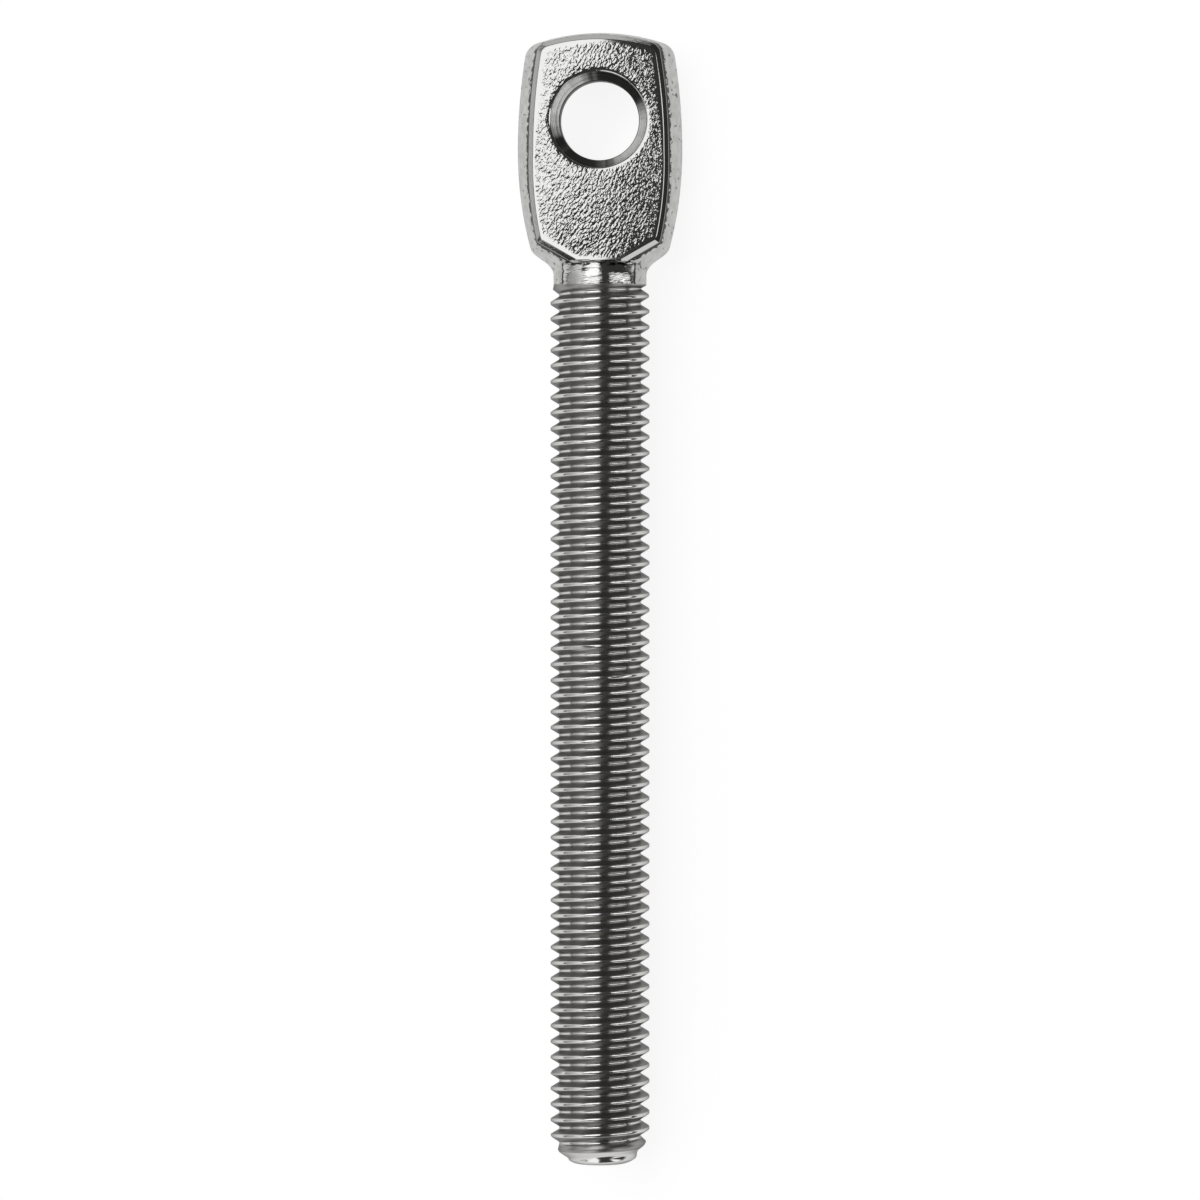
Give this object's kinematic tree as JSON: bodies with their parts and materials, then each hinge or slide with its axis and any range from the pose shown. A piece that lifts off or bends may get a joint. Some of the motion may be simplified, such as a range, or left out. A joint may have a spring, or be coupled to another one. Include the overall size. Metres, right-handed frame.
{
  "type": "threaded eye terminal",
  "caption": "Long right-hand threaded shank with a forged, flattened eye at its head, bored crossways for a pin.",
  "frame": {"origin": "centre of the eye's bore, on the shank's axis", "axes": "+Y from the thread to the top of the eye, +Z along the bore, up out of the face that is seen, X across the eye"},
  "size_m": [0.0132, 0.09, 0.0078],
  "materials": {
    "bright_steel": "bright forged steel, polished and pebbled on the eye's faces, satin round the sides"
  },
  "bodies": {
    "root": {"eye_terminal": "bright_steel"}
  },
  "joints": []
}
